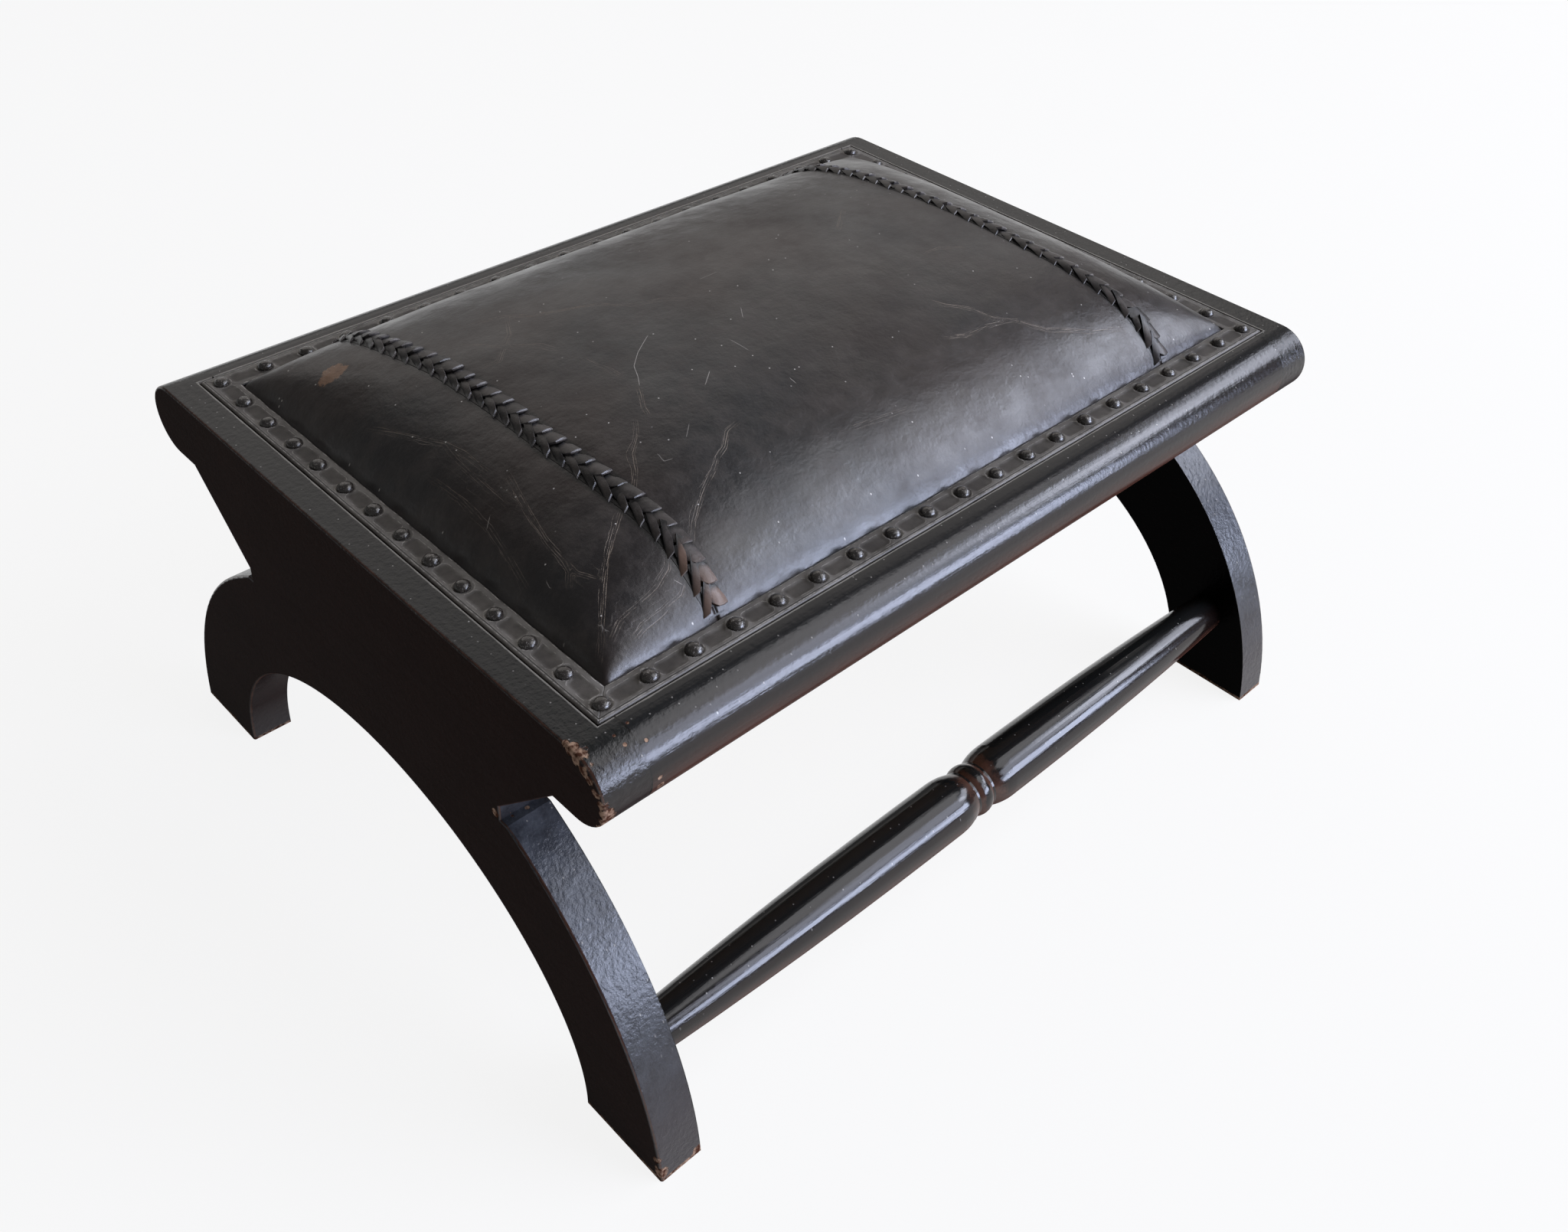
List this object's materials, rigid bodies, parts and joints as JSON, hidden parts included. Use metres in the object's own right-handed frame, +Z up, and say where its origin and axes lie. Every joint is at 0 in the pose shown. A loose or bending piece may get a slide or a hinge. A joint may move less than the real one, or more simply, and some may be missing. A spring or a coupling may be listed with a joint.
{
  "type": "camel saddle stool",
  "caption": "Low saddle-style footstool with arched side boards, turned stretchers, round-nosed rails and a crowned leather pad laced with leather braid and edged with nailed banding.",
  "frame": {"origin": "on the floor, under the middle of the stool", "axes": "+X from the left side board to the right one, +Y from front to back, +Z up"},
  "size_m": [0.5284, 0.453, 0.3013],
  "materials": {
    "ebonised_wood": "black lacquer over brown hardwood, semi-gloss, brushed, worn through at edges",
    "bare_wood": "unfinished hardwood",
    "cover_leather": "very dark brown cowhide, waxed, soft sheen, creased",
    "lacing_leather": "dark brown leather thong, braided",
    "banding_leather": "dark leather strip, tooled",
    "dome_nails": "blackened dome nails, worn shine",
    "stuffing": "fibre stuffing",
    "screws": "plain steel"
  },
  "bodies": {
    "root": {"side_board_left": "ebonised_wood", "side_board_right": "ebonised_wood", "front_rail": "ebonised_wood", "back_rail": "ebonised_wood", "front_stretcher": "ebonised_wood", "back_stretcher": "ebonised_wood", "seat_board": "bare_wood", "corner_block_front_left": "bare_wood", "corner_block_front_right": "bare_wood", "corner_block_back_left": "bare_wood", "corner_block_back_right": "bare_wood", "rail_dowels_left": "bare_wood", "rail_dowels_right": "bare_wood", "leather_centre": "cover_leather", "leather_left": "cover_leather", "leather_right": "cover_leather", "banding_front": "banding_leather", "banding_back": "banding_leather", "banding_left": "banding_leather", "banding_right": "banding_leather", "braid_left": "lacing_leather", "braid_right": "lacing_leather", "nails_front": "dome_nails", "nails_back": "dome_nails", "nails_left": "dome_nails", "nails_right": "dome_nails", "seat_stuffing": "stuffing", "seat_screws": "screws"}
  },
  "joints": []
}
